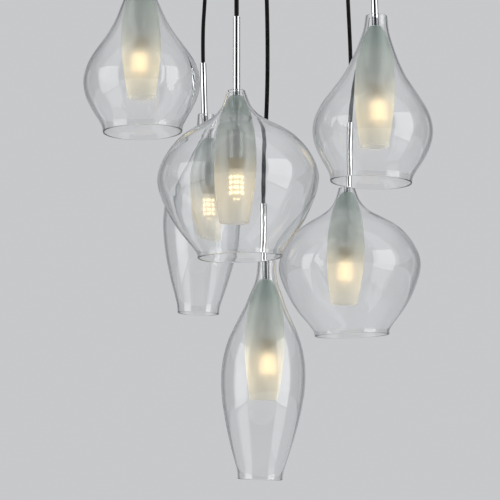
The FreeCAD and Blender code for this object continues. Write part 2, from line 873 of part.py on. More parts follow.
def lamp_cup(number):
    """The cup over the socket, with a set screw through its side."""
    outer = size.lamp_cup_diameter / 2
    inner = outer - size.lamp_cup_wall
    hole = size.sleeve_diameter / 2 + size.core_fit
    shell = turned_body(
        f"lamp_cup_shell_{number}",
        [
            (hole, -size.lamp_cup_top),
            (outer - size.lamp_cup_shoulder, -size.lamp_cup_top),
            (outer, -(size.lamp_cup_top + size.lamp_cup_shoulder)),
            (outer, -size.lamp_cup_foot),
            (inner, -size.lamp_cup_foot),
            (inner, -(size.lamp_cup_top + size.lamp_cup_plate)),
            (hole, -(size.lamp_cup_top + size.lamp_cup_plate)),
        ],
    )
    bearing = size.set_screw_bearing
    outwards = Rotation(
        Vector(0, 0, 1), Vector(cosine(bearing).number, sine(bearing).number, 0)
    )
    screw_start = size.socket_neck_diameter / 2 + size.core_fit

    def side_cylinder(name, diameter, length, start):
        """A cylinder that points out of the cup's side."""
        return cylinder(
            name,
            diameter,
            length,
            start * cosine(bearing),
            start * sine(bearing),
            -size.set_screw_depth,
            outwards,
        )

    hole_diameter = size.set_screw_diameter + size.screw_clearance * 2
    side_hole = side_cylinder(f"set_screw_hole_{number}", hole_diameter, outer, screw_start)
    shank = side_cylinder(
        f"set_screw_shank_{number}",
        size.set_screw_diameter,
        outer + size.core_fit - screw_start,
        screw_start,
    )
    head = side_cylinder(
        f"set_screw_head_{number}",
        size.set_screw_head_diameter,
        size.set_screw_head_height,
        outer + size.core_fit,
    )
    cup = cut(f"lamp_cup_cut_{number}", shell, side_hole)
    screw = fused(f"set_screw_{number}", [shank, head])
    whole = group(f"lamp_cup_group_{number}", [cup, screw])
    place_core(whole, number)
    sub_part(whole, f"lamp_cup_{number}")


def socket(number):
    """The ceramic two-pin socket, with the two wires that come down to it from the cord."""
    neck = size.socket_neck_diameter / 2
    skirt_top = -(size.lamp_cup_foot + size.socket_skirt_gap)
    ceramic = turned_body(
        f"socket_ceramic_{number}",
        [
            (0, -size.socket_top),
            (neck, -size.socket_top),
            (neck, skirt_top),
            (size.socket_skirt_diameter / 2, skirt_top),
            (size.socket_foot_diameter / 2, -size.socket_foot),
            (0, -size.socket_foot),
        ],
    )
    holes = []
    wires = []
    wire_top = size.stem_rise - size.cord_in_stem - size.wire_gap
    for name, side in (("right", 1), ("left", -1)):
        hole = cylinder(
            f"pin_hole_{name}_{number}",
            size.pin_hole_diameter,
            size.pin_hole_length,
            size.pin_spacing / 2 * side,
            0,
            -size.socket_foot,
        )
        holes.append(hole)
        wire = cylinder(
            f"wire_{name}_{number}",
            size.wire_diameter,
            wire_top + size.socket_top,
            size.wire_spacing / 2 * side,
            0,
            -size.socket_top,
        )
        wires.append(wire)
    drilled = cut(f"socket_drilled_{number}", ceramic, fused(f"pin_holes_{number}", holes))
    whole = group(f"socket_group_{number}", [drilled, *wires])
    place_core(whole, number)
    sub_part(whole, f"socket_{number}")


def lamp(number):
    """The capsule lamp: two pins, a collar, a six-sided column for the chips and a tip."""
    top = -(size.socket_foot + size.lamp_gap)
    collar_foot = top - size.lamp_collar_height
    column_foot = collar_foot - size.lamp_column_height
    pieces = [
        cylinder(
            f"lamp_collar_{number}", size.lamp_collar_diameter, size.lamp_collar_height, up=collar_foot
        ),
        cylinder(
            f"lamp_tip_{number}",
            size.lamp_tip_diameter,
            size.lamp_tip_height,
            up=column_foot - size.lamp_tip_height,
        ),
    ]
    column = doc.addObject("Part::Prism", f"lamp_column_{number}")
    column.Polygon = 6
    column.setExpression("Circumradius", (size.lamp_column_diameter / 2).text)
    column.setExpression("Height", size.lamp_column_height.text)
    place(column, 0, 0, column_foot)
    pieces.append(column)
    for name, side in (("right", 1), ("left", -1)):
        pin = cylinder(
            f"lamp_pin_{name}_{number}",
            size.pin_diameter,
            size.pin_length,
            size.pin_spacing / 2 * side,
            0,
            top,
        )
        pieces.append(pin)
    whole = fused(f"lamp_fused_{number}", pieces)
    place_core(whole, number)
    sub_part(whole, f"lamp_{number}")


# ---------------------------------------------------------------- build, check and write


canopy_cover()
ceiling_bracket()
canopy_screws()
terminal_block()
cord_grips()
inner_leads()
for pendant in PENDANTS:
    cord(pendant)
    stem(pendant)
    shade(pendant)
    diffuser(pendant)
    neck_cup(pendant)
    sleeve(pendant)
    lamp_cup(pendant)
    socket(pendant)
    lamp(pendant)
doc.recompute()

for item in doc.Objects:
    if "Invalid" in item.State or "Error" in item.State:
        raise RuntimeError(f"{item.Label} did not compute: {item.State}")
for item in sub_parts:
    if item.Shape.isNull() or not item.Shape.isValid():
        raise RuntimeError(f"{item.Label} has no valid shape")

os.makedirs("parts", exist_ok=True)
for item in sub_parts:
    item.Shape.exportStep(f"parts/{item.Label}.step")
print(f"{len(sub_parts)} sub-parts, {sum(len(item.Shape.Solids) for item in sub_parts)} solids")
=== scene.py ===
# %% [markdown]
# # Cluster pendant
# Six glass pendants hang on black cords from one round canopy. Each pendant is a chrome stem, a frosted
# inner glass round a capsule lamp, and a clear blown shade that rests on the inner glass by its neck.
# The metal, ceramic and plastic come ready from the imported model. This file adds the glass, the cords and
# the light-emitting chips as meshes and curves of its own, and gives every surface its finish.

import json
import math

import bmesh
import bpy
import numpy as np
from mathutils import Matrix, Vector


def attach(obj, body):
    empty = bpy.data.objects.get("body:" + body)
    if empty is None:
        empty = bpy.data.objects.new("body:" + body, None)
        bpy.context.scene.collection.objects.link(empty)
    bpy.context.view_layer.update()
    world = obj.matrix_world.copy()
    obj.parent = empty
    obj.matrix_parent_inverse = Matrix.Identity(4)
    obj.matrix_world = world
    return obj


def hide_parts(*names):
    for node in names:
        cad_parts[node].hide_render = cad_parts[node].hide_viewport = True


MM = 0.001

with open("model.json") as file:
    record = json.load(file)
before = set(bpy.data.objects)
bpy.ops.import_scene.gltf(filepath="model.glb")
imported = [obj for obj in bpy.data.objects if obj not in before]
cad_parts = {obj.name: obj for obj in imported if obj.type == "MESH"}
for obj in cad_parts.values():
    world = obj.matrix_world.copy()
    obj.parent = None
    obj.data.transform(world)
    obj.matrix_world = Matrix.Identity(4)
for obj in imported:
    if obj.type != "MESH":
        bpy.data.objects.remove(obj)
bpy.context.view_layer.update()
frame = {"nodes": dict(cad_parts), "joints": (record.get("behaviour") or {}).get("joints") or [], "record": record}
joints = {joint["name"]: joint for joint in frame["joints"]}

# %% [markdown]
# Every pendant has a datum, the middle of its inner glass's top edge. The joint that lets the pendant
# twist on its cord runs through that point, along the stem, so the frame itself says where each pendant
# is and which way its stem leans.

# %% Where each pendant hangs
PENDANTS = range(1, 7)
SHADE_KINDS = {1: "drop", 2: "slim", 3: "globe", 4: "slim", 5: "drop", 6: "globe"}

datum = {i: Vector(joints[f"twist_{i}"]["pos_m"]) for i in PENDANTS}
stem_axis = {i: Vector(joints[f"twist_{i}"]["axis"]) for i in PENDANTS}
cord_exit = {i: Vector(joints[f"swing_{i}"]["pos_m"]) for i in PENDANTS}
for i in PENDANTS:
    print(f"pendant {i}: datum {tuple(round(v, 4) for v in datum[i])}")

# %% [markdown]
# ## Camera
# The photograph looks up a little from the height of the lowest pendants. A longer lens from nearly two
# metres keeps the cords almost parallel, as they are there.

# %% Camera
PHOTO_WIDTH = 500
FOCAL_PIXELS = 1577
SENSOR_WIDTH = 36
CAMERA_PLACE = (-0.014, -1.85, -0.79)
CAMERA_TILT = 7.2

camera_data = bpy.data.cameras.new("camera")
camera_data.sensor_width = SENSOR_WIDTH
camera_data.lens = SENSOR_WIDTH * FOCAL_PIXELS / PHOTO_WIDTH
camera_data.clip_start = 0.01
camera_data.clip_end = 50
camera = bpy.data.objects.new("camera", camera_data)
camera.location = CAMERA_PLACE
camera.rotation_euler = (math.radians(90 + CAMERA_TILT), 0, 0)
bpy.context.scene.collection.objects.link(camera)
bpy.context.scene.camera = camera
bpy.context.scene.view_settings.view_transform = "Standard"
print(f"lens {camera_data.lens:.1f} mm")

# %% [markdown]
# ## Shader groups
# Three small node groups serve several finishes. Each takes its sizes as named inputs and gives out only
# a value, a colour or a normal that changes over the surface. They read Object coordinates, which are the
# room's own, because every piece's object sits at the origin.

# %% Helpers for node trees
def add_node(tree, kind, **values):
    """A node of that kind; values are its properties, or its inputs by name where it has no such property."""
    node = tree.nodes.new(kind)
    for name, value in values.items():
        if hasattr(node, name):
            setattr(node, name, value)
        else:
            node.inputs[name.replace("_", " ").title()].default_value = value
    return node


def wire(tree, source, target):
    """Join an output socket to an input socket."""
    tree.links.new(source, target)


def mix_colours(tree, low=None, high=None):
    """A colour Mix node: its factor, first and second sockets in a list, and its result socket."""
    node = add_node(tree, "ShaderNodeMix", data_type="RGBA")
    factor, first, second = node.inputs[0], node.inputs[6], node.inputs[7]
    for socket, colour in ((first, low), (second, high)):
        if colour is not None:
            socket.default_value = colour
    return [factor, first, second], node.outputs[2]


def set_stops(ramp, stops):
    """Give a colour ramp node its stops, each a place and a colour."""
    elements = ramp.color_ramp.elements
    for element, (place, colour) in zip(elements, stops):
        element.position = place
        element.color = colour
    for place, colour in stops[2:]:
        elements.new(place).color = colour


def any_ray(tree, kinds):
    """A mask that is 1 for rays of any of the kinds, by the names of their sockets."""
    rays = tree.nodes.new("ShaderNodeLightPath")
    mask = rays.outputs[kinds[0]]
    for kind in kinds[1:]:
        either = add_node(tree, "ShaderNodeMath", operation="MAXIMUM")
        wire(tree, mask, either.inputs[0])
        wire(tree, rays.outputs[kind], either.inputs[1])
        mask = either.outputs["Value"]
    return mask


def new_group(name, kind, inputs, outputs):
    """An empty node group with named sockets, its input node and its output node."""
    group = bpy.data.node_groups.new(name, kind)
    for label, socket_kind, default in inputs:
        socket = group.interface.new_socket(label, in_out="INPUT", socket_type=socket_kind)
        if default is not None:
            socket.default_value = default
    for label, socket_kind in outputs:
        group.interface.new_socket(label, in_out="OUTPUT", socket_type=socket_kind)
    return group, group.nodes.new("NodeGroupInput"), group.nodes.new("NodeGroupOutput")


# %% [markdown]
# **Patchy value.** Fingerprints, dust and wiping leave polished surfaces a little uneven. A soft noise
# moves a value between a low and a high end. It serves the roughness of chrome, frosted glass, plastic and
# cord. Noise seldom leaves the middle of its own range, so the middle is stretched over the whole move.

# %% Group: patchy value
PATCHY_NOISE = (0.35, 0.68)


def patchy_value_group():
    """Noise between two ends, for roughness."""
    group, given, result = new_group(
        "Patchy value",
        "ShaderNodeTree",
        [
            ("Low", "NodeSocketFloat", 0.05),
            ("High", "NodeSocketFloat", 0.12),
            ("Scale", "NodeSocketFloat", 30.0),
        ],
        [("Value", "NodeSocketFloat")],
    )
    place = add_node(group, "ShaderNodeTexCoord")
    noise = add_node(group, "ShaderNodeTexNoise", detail=5.0)
    spread = add_node(group, "ShaderNodeMapRange", interpolation_type="SMOOTHSTEP")
    spread.inputs["From Min"].default_value, spread.inputs["From Max"].default_value = PATCHY_NOISE
    wire(group, place.outputs["Object"], noise.inputs["Vector"])
    wire(group, given.outputs["Scale"], noise.inputs["Scale"])
    wire(group, noise.outputs["Fac"], spread.inputs["Value"])
    wire(group, given.outputs["Low"], spread.inputs["To Min"])
    wire(group, given.outputs["High"], spread.inputs["To Max"])
    wire(group, spread.outputs["Result"], result.inputs["Value"])
    return group


PATCHY_VALUE = patchy_value_group()

# %% [markdown]
# **Fine relief.** Mouth-blown glass is never quite even, a plastic sheath has a faint grain, and fired
# clay is rough. One noise through a Bump node makes all three, at different scales and heights.

# %% Group: fine relief
def fine_relief_group():
    """A bumped normal from noise on stretched Object coordinates."""
    group, given, result = new_group(
        "Fine relief",
        "ShaderNodeTree",
        [
            ("Scale", "NodeSocketFloat", 200.0),
            ("Height", "NodeSocketFloat", 0.0001),
            ("Stretch", "NodeSocketVector", (1.0, 1.0, 1.0)),
        ],
        [("Normal", "NodeSocketVector")],
    )
    place = add_node(group, "ShaderNodeTexCoord")
    stretch = add_node(group, "ShaderNodeVectorMath", operation="MULTIPLY")
    noise = add_node(group, "ShaderNodeTexNoise", detail=3.0)
    bump = add_node(group, "ShaderNodeBump")
    bump.inputs["Strength"].default_value = 1.0
    wire(group, place.outputs["Object"], stretch.inputs[0])
    wire(group, given.outputs["Stretch"], stretch.inputs[1])
    wire(group, stretch.outputs["Vector"], noise.inputs["Vector"])
    wire(group, given.outputs["Scale"], noise.inputs["Scale"])
    wire(group, noise.outputs["Fac"], bump.inputs["Height"])
    wire(group, given.outputs["Height"], bump.inputs["Distance"])
    wire(group, bump.outputs["Normal"], result.inputs["Normal"])
    return group


FINE_RELIEF = fine_relief_group()

# %% [markdown]
# **Mottled colour.** Two close colours mixed by noise keep ceramic, zinc and plastic from looking like
# one flat paint.

# %% Group: mottled colour
MOTTLED_NOISE = (0.38, 0.62)


def mottled_colour_group():
    """Two colours mixed by noise."""
    group, given, result = new_group(
        "Mottled colour",
        "ShaderNodeTree",
        [
            ("Colour", "NodeSocketColor", (0.5, 0.5, 0.5, 1)),
            ("Second colour", "NodeSocketColor", (0.4, 0.4, 0.4, 1)),
            ("Scale", "NodeSocketFloat", 60.0),
            ("Stretch", "NodeSocketVector", (1.0, 1.0, 1.0)),
        ],
        [("Colour", "NodeSocketColor")],
    )
    place = add_node(group, "ShaderNodeTexCoord")
    stretch = add_node(group, "ShaderNodeVectorMath", operation="MULTIPLY")
    noise = add_node(group, "ShaderNodeTexNoise", detail=6.0)
    sharpen = add_node(group, "ShaderNodeMapRange", interpolation_type="SMOOTHSTEP")
    sharpen.inputs["From Min"].default_value, sharpen.inputs["From Max"].default_value = MOTTLED_NOISE
    mix_in, mix_out = mix_colours(group)
    wire(group, place.outputs["Object"], stretch.inputs[0])
    wire(group, given.outputs["Stretch"], stretch.inputs[1])
    wire(group, stretch.outputs["Vector"], noise.inputs["Vector"])
    wire(group, given.outputs["Scale"], noise.inputs["Scale"])
    wire(group, noise.outputs["Fac"], sharpen.inputs["Value"])
    wire(group, sharpen.outputs["Result"], mix_in[0])
    wire(group, given.outputs["Colour"], mix_in[1])
    wire(group, given.outputs["Second colour"], mix_in[2])
    wire(group, mix_out, result.inputs["Colour"])
    return group


MOTTLED_COLOUR = mottled_colour_group()

# %% Helpers for materials
def new_material(name, **values):
    """A material with its Principled BSDF; values are plain numbers or colours on that shader."""
    material = bpy.data.materials.new(name)
    material.use_nodes = True
    tree = material.node_tree
    shader = tree.nodes["Principled BSDF"]
    for label, value in values.items():
        shader.inputs[label.replace("_", " ")].default_value = value
    return material, tree, shader


def add_group(tree, group, **values):
    """A placed shader group with its own values."""
    node = tree.nodes.new("ShaderNodeGroup")
    node.node_tree = group
    for label, value in values.items():
        node.inputs[label.replace("_", " ")].default_value = value
    return node


def patchy_roughness(tree, shader, low, high, scale):
    """Wire an uneven roughness."""
    marks = add_group(tree, PATCHY_VALUE, Low=low, High=high, Scale=scale)
    wire(tree, marks.outputs["Value"], shader.inputs["Roughness"])
    return marks


def relief(tree, shader, scale, height, stretch=(1, 1, 1)):
    """Wire a fine relief."""
    bumps = add_group(tree, FINE_RELIEF, Scale=scale, Height=height, Stretch=stretch)
    wire(tree, bumps.outputs["Normal"], shader.inputs["Normal"])


def let_light_through(tree, shader, tint):
    """Let light reach what the glass encloses: shadow and diffuse rays pass straight, with a tint."""
    passing = any_ray(tree, ("Is Shadow Ray", "Is Diffuse Ray"))
    clear = tree.nodes.new("ShaderNodeBsdfTransparent")
    clear.inputs["Color"].default_value = tint
    choice = tree.nodes.new("ShaderNodeMixShader")
    output = tree.nodes["Material Output"]
    wire(tree, passing, choice.inputs["Fac"])
    wire(tree, shader.outputs["BSDF"], choice.inputs[1])
    wire(tree, clear.outputs["BSDF"], choice.inputs[2])
    wire(tree, choice.outputs["Shader"], output.inputs["Surface"])


# %% [markdown]
# ## Clear glass
# The outer shades are clear, thin and a little wavy. What makes clear glass visible is its edge: there
# the eye looks along the wall, through much more glass, so the outline turns grey. A small absorption in
# the volume does that by itself. The soft waves of the blowing come from a very low, wide relief.

# %% Clear glass
def clear_glass():
    """Blown clear glass."""
    material, tree, shader = new_material(
        "clear_glass",
        Base_Color=(1, 1, 1, 1),
        Transmission_Weight=1.0,
        IOR=1.47,
        Roughness=0.0,
    )
    relief(tree, shader, 14, 0.0007, (1, 1, 0.5))
    absorption = tree.nodes.new("ShaderNodeVolumeAbsorption")
    absorption.inputs["Color"].default_value = (0.80, 0.85, 0.86, 1)
    absorption.inputs["Density"].default_value = 42
    wire(tree, absorption.outputs["Volume"], tree.nodes["Material Output"].inputs["Volume"])
    let_light_through(tree, shader, (0.97, 0.98, 0.98, 1))
    return material


# %% [markdown]
# ## Frosted glass
# The inner glass is satin: one can still make out the cup, the sleeve and the lamp behind it. So most
# of it is rough transmission, and a part is plain body colour. That colour is the glass's grey-green with
# painted light in it: darker at the neck, as painted shade, and a lighter warm beige where the lamp is, as
# painted lamp light. A painted glow, emission that stands for the lamp's light in the wall, spreads there
# too, most at its edges, where one looks along it. Both follow the depth below the top edge, which the mesh
# carries as an attribute. A second attribute says how matt each glass is, because the lamps show as chips
# in two and as a haze in four.

# %% Frosted glass
DIFFUSER_LENGTH = 140 * MM
LAMP_MIDDLE_DEPTH = 108 * MM
PAINTED_GLOW_REACH = 55 * MM
SATIN_SPREAD = 1.2

# the body colour, with painted shade at the neck and painted lamp light lower down, from the top edge, 0, to the
# bottom, 1
BODY_COLOURS_WITH_PAINTED_LIGHT = [
    (0.00, (0.56, 0.63, 0.60, 1)),
    (0.14, (0.61, 0.67, 0.635, 1)),
    (0.26, (0.74, 0.77, 0.735, 1)),
    (0.48, (0.79, 0.80, 0.76, 1)),
    (0.68, (0.875, 0.855, 0.79, 1)),
    (1.00, (0.89, 0.875, 0.82, 1)),
]
# the painted glow of the lamp in the glass wall, an emission: faint facing the eye, stronger at the edges
PAINTED_GLOW_FACING = (0.045, 0.036, 0.020, 1)
PAINTED_GLOW_AT_EDGE = (0.17, 0.125, 0.055, 1)


def frosted_glass():
    """Satin glass with a painted glow of the lamp in its wall, and painted shade and lamp light in its body
    colour.
    """
    material, tree, shader = new_material(
        "frosted_glass",
        Transmission_Weight=0.86,
        IOR=1.25,
        Emission_Strength=1.0,
    )
    depth = add_node(tree, "ShaderNodeAttribute", attribute_name="depth")
    along = add_node(tree, "ShaderNodeMapRange")
    along.inputs["From Max"].default_value = DIFFUSER_LENGTH
    wire(tree, depth.outputs["Fac"], along.inputs["Value"])
    # body colour: the glass's grey-green, darker at the neck as painted shade, lighter and warmer lower down as
    # painted lamp light
    body = tree.nodes.new("ShaderNodeValToRGB")
    set_stops(body, BODY_COLOURS_WITH_PAINTED_LIGHT)
    wire(tree, along.outputs["Result"], body.inputs["Fac"])
    wire(tree, body.outputs["Color"], shader.inputs["Base Color"])

    # painted glow: emission in the wall, strongest level with the lamp's middle and gone past its reach
    off_lamp = add_node(tree, "ShaderNodeMath", operation="SUBTRACT")
    off_lamp.inputs[1].default_value = LAMP_MIDDLE_DEPTH
    away = add_node(tree, "ShaderNodeMath", operation="ABSOLUTE")
    glow = add_node(tree, "ShaderNodeMapRange", interpolation_type="SMOOTHSTEP")
    glow.inputs["From Max"].default_value = PAINTED_GLOW_REACH
    glow.inputs["To Min"].default_value = 1.0
    glow.inputs["To Max"].default_value = 0.0
    wire(tree, depth.outputs["Fac"], off_lamp.inputs[0])
    wire(tree, off_lamp.outputs["Value"], away.inputs[0])
    wire(tree, away.outputs["Value"], glow.inputs["Value"])
    edge = add_node(tree, "ShaderNodeLayerWeight", Blend=0.35)
    painted_rim_glow_in, painted_rim_glow_out = mix_colours(tree, PAINTED_GLOW_FACING, PAINTED_GLOW_AT_EDGE)
    wire(tree, edge.outputs["Facing"], painted_rim_glow_in[0])
    painted_glow_in, painted_glow_out = mix_colours(tree, (0, 0, 0, 1))
    wire(tree, glow.outputs["Result"], painted_glow_in[0])
    wire(tree, painted_rim_glow_out, painted_glow_in[2])
    wire(tree, painted_glow_out, shader.inputs["Emission Color"])

    satin = add_node(tree, "ShaderNodeAttribute", attribute_name="satin")
    marks = patchy_roughness(tree, shader, 0.2, 0.2, 60)
    rougher = add_node(tree, "ShaderNodeMath", operation="MULTIPLY")
    rougher.inputs[1].default_value = SATIN_SPREAD
    wire(tree, satin.outputs["Fac"], marks.inputs["Low"])
    wire(tree, satin.outputs["Fac"], rougher.inputs[0])
    wire(tree, rougher.outputs["Value"], marks.inputs["High"])
    relief(tree, shader, 900, 0.000008)
    let_light_through(tree, shader, (0.72, 0.72, 0.70, 1))
    return material


# %% [markdown]
# ## Metal
# Stems, cups, grips and the canopy are polished chrome. Chrome shows little but its surroundings, so the
# finish is a bright metal, faint wiping marks in the roughness, and a room with light and dark in it.

# %% Chrome
def chrome():
    """Polished chrome with faint wiping marks."""
    material, tree, shader = new_material("chrome", Base_Color=(0.58, 0.59, 0.60, 1), Metallic=1.0)
    patchy_roughness(tree, shader, 0.035, 0.11, 45)
    return material


# %% [markdown]
# The bracket hides behind the canopy. It is zinc-plated strip: duller, with rolling marks along its
# length and a mottle of zinc.

# %% Zinc-plated steel
def zinc_steel():
    """Rolled steel strip, zinc plated."""
    material, tree, shader = new_material("zinc_steel", Metallic=1.0)
    mottle = add_group(
        tree,
        MOTTLED_COLOUR,
        Colour=(0.62, 0.63, 0.64, 1),
        Second_colour=(0.52, 0.54, 0.57, 1),
        Scale=120,
        Stretch=(0.3, 1, 1),
    )
    wire(tree, mottle.outputs["Colour"], shader.inputs["Base Color"])
    patchy_roughness(tree, shader, 0.28, 0.45, 90)
    relief(tree, shader, 500, 0.00004, (0.05, 1, 1))
    return material


# %% [markdown]
# ## Cord, leads and terminal block
# The cords have a smooth black sheath with a soft sheen and a very fine drawn grain. The leads inside
# the canopy and the terminal block are off-white plastic, one smooth and one matt.

# %% Plastics
def cord_sheath():
    """Smooth black cable sheath."""
    material, tree, shader = new_material("cord_sheath", Specular_IOR_Level=0.06)
    mottle = add_group(
        tree,
        MOTTLED_COLOUR,
        Colour=(0.006, 0.006, 0.0065, 1),
        Second_colour=(0.009, 0.009, 0.0095, 1),
        Scale=40,
    )
    wire(tree, mottle.outputs["Colour"], shader.inputs["Base Color"])
    patchy_roughness(tree, shader, 0.34, 0.5, 70)
    relief(tree, shader, 1500, 0.00006, (1, 1, 0.08))
    return material


def lead_sheath():
    """Off-white lead sheath."""
    material, tree, shader = new_material("lead_sheath", Specular_IOR_Level=0.5)
    mottle = add_group(
        tree,
        MOTTLED_COLOUR,
        Colour=(0.78, 0.78, 0.75, 1),
        Second_colour=(0.72, 0.72, 0.68, 1),
        Scale=50,
    )
    wire(tree, mottle.outputs["Colour"], shader.inputs["Base Color"])
    patchy_roughness(tree, shader, 0.3, 0.42, 60)
    relief(tree, shader, 900, 0.00003)
    return material


def terminal_plastic():
    """Moulded matt plastic of the terminal block."""
    material, tree, shader = new_material("terminal_plastic")
    mottle = add_group(
        tree,
        MOTTLED_COLOUR,
        Colour=(0.80, 0.80, 0.76, 1),
        Second_colour=(0.74, 0.73, 0.68, 1),
        Scale=30,
    )
    wire(tree, mottle.outputs["Colour"], shader.inputs["Base Color"])
    patchy_roughness(tree, shader, 0.5, 0.65, 50)
    relief(tree, shader, 700, 0.00008)
    return material


# %% [markdown]
# ## Socket and lamp
# The socket is unglazed, slightly gritty ceramic, tan with darker specks. The lamp's body is a creamy
# white plastic lit from its own chips, and the chips are warm yellow, white in the middle.

# %% Ceramic, lamp body and chips
def ceramic():
    """Unglazed tan ceramic, warm from the lamp below it."""
    material, tree, shader = new_material("ceramic", Specular_IOR_Level=0.3)
    mottle = add_group(
        tree,
        MOTTLED_COLOUR,
        Colour=(0.46, 0.34, 0.16, 1),
        Second_colour=(0.36, 0.26, 0.12, 1),
        Scale=260,
    )
    wire(tree, mottle.outputs["Colour"], shader.inputs["Base Color"])
    patchy_roughness(tree, shader, 0.6, 0.8, 150)
    relief(tree, shader, 1200, 0.00012)
    return material


def lamp_body():
    """Creamy plastic that glows with its chips."""
    material, tree, shader = new_material(
        "lamp_body", Base_Color=(0.90, 0.84, 0.70, 1), Emission_Strength=0.22
    )
    mottle = add_group(
        tree,
        MOTTLED_COLOUR,
        Colour=(1.0, 0.72, 0.36, 1),
        Second_colour=(1.0, 0.80, 0.48, 1),
        Scale=220,
    )
    wire(tree, mottle.outputs["Colour"], shader.inputs["Emission Color"])
    patchy_roughness(tree, shader, 0.3, 0.45, 120)
    return material


def chip_phosphor():
    """The glowing phosphor of a chip."""
    material, tree, shader = new_material(
        "chip_phosphor", Base_Color=(0.95, 0.78, 0.35, 1), Roughness=0.35, Emission_Strength=2.7
    )
    mottle = add_group(
        tree,
        MOTTLED_COLOUR,
        Colour=(1.0, 0.73, 0.46, 1),
        Second_colour=(1.0, 0.78, 0.55, 1),
        Scale=900,
    )
    wire(tree, mottle.outputs["Colour"], shader.inputs["Emission Color"])
    return material


# %% Finishes by the record's slots
FINISHES = {
    "clear_glass": clear_glass(),
    "frosted_glass": frosted_glass(),
    "chrome": chrome(),
    "zinc_steel": zinc_steel(),
    "cord": cord_sheath(),
    "lead_sheath": lead_sheath(),
    "terminal_plastic": terminal_plastic(),
    "ceramic": ceramic(),
    "lamp": lamp_body(),
}
CHIP_PHOSPHOR = chip_phosphor()

for entry in frame["record"]["subparts"]:
    node = frame["nodes"][entry["node"]]
    for place in node.material_slots:
        place.material = FINISHES[entry["material_slot"]]
print(len(frame["nodes"]), "nodes finished")

# %% [markdown]
# ## Cords
# Each cord leaves its grip straight down, wanders a little, because it was packed coiled and its pendant
# is light, and comes back in line with the stem that it goes into. A NURBS curve of order 3 through a
# few given points gives that lazy line with no kinks.

# %% Cords
CORD_DIAMETER = 0.005
CORD_RISE = 0.078
CORD_ROUNDNESS = 6
CORD_SMOOTHNESS = 16

# between the grip and the stem: side, back and depth below the ceiling, from the grip's own place
CORD_BENDS = {
    1: [(0.0004, 0.0, 0.070), (0.0015, 0.0003, 0.103), (0.0019, 0.0, 0.131)],
    2: [(-0.0010, 0.0002, 0.092), (-0.0042, 0.0008, 0.150), (-0.0074, 0.0007, 0.212),
        (-0.0105, 0.0, 0.263)],
    3: [(-0.0006, 0.0, 0.095), (-0.0026, 0.0005, 0.160), (-0.0038, 0.0004, 0.226),
        (-0.0032, 0.0, 0.284)],
    4: [(0.0007, 0.0, 0.100), (0.0036, 0.0006, 0.180), (0.0068, 0.0009, 0.262),
        (0.0073, 0.0005, 0.345), (0.0049, 0.0002, 0.412), (0.0021, 0.0, 0.468)],
    5: [(0.0005, 0.0, 0.085), (-0.0002, 0.0004, 0.136), (-0.0019, 0.0, 0.185)],
    6: [(0.0005, 0.0, 0.100), (0.0021, 0.0003, 0.163), (0.0044, 0.0007, 0.226),
        (0.0068, 0.0005, 0.284), (0.0074, 0.0002, 0.326), (0.0050, 0.0, 0.362)],
}


def cord_route(number):
    """The control points of a cord, from its grip into the bore of its stem."""
    start = cord_exit[number]
    bends = [
        Vector((start.x + side, start.y + back, -depth)) for side, back, depth in CORD_BENDS[number]
    ]
    return [start, *bends, datum[number] + stem_axis[number] * CORD_RISE]


def cord_curve(number):
    """A cord as one open NURBS spline with a round section."""
    curve = bpy.data.curves.new(f"pendant_cord_{number}", "CURVE")
    curve.dimensions = "3D"
    curve.bevel_depth = CORD_DIAMETER / 2
    curve.bevel_resolution = CORD_ROUNDNESS
    curve.use_fill_caps = True
    curve.resolution_u = CORD_SMOOTHNESS
    route = cord_route(number)
    spline = curve.splines.new("NURBS")
    spline.points.add(len(route) - 1)
    for point, place in zip(spline.points, route):
        point.co = (*place, 1)
    spline.order_u = 3
    spline.use_endpoint_u = True
    curve.materials.append(FINISHES["cord"])
    piece = bpy.data.objects.new(f"pendant_cord_{number}", curve)
    bpy.context.scene.collection.objects.link(piece)
    return piece


for i in PENDANTS:
    piece = cord_curve(i)
    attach(piece, f"cord_{i}_line")
    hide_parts(f"cord_{i}")

# %% [markdown]
# ## Blown glass
# Every glass here is round, so its whole shape is one outline turned about its axis. Three ways were
# possible: the Screw modifier, `bmesh.ops.spin`, or Geometry Nodes. The node tree is used, because the
# same tree then turns all twelve glasses, with the number of segments and the finish as its inputs. It
# reads a closed outline, makes a tube of it round a circle, and stores how deep each point lies below
# the top, for the frosted finish to follow.

# %% Helpers for Geometry Nodes
def apply_tree(piece, tree, **values):
    """Run a tree on an object through a modifier and leave the result as its plain mesh."""
    modifier = piece.modifiers.new(tree.name, "NODES")
    modifier.node_group = tree
    identifiers = {
        item.name: item.identifier
        for item in tree.interface.items_tree
        if item.item_type == "SOCKET" and item.in_out == "INPUT"
    }
    for label, value in values.items():
        modifier[identifiers[label.replace("_", " ")]] = value
    bpy.context.view_layer.update()
    evaluated = piece.evaluated_get(bpy.context.evaluated_depsgraph_get())
    mesh = bpy.data.meshes.new_from_object(evaluated)
    piece.modifiers.remove(modifier)
    old = piece.data
    piece.data = mesh
    bpy.data.meshes.remove(old)
    return piece


def outwards(mesh):
    """Merge doubles and point every face of a closed mesh outwards."""
    work = bmesh.new()
    work.from_mesh(mesh)
    bmesh.ops.remove_doubles(work, verts=work.verts, dist=1e-7)
    bmesh.ops.recalc_face_normals(work, faces=work.faces)
    work.to_mesh(mesh)
    work.free()


# %% The turning tree
PATH_RADIUS = 0.05


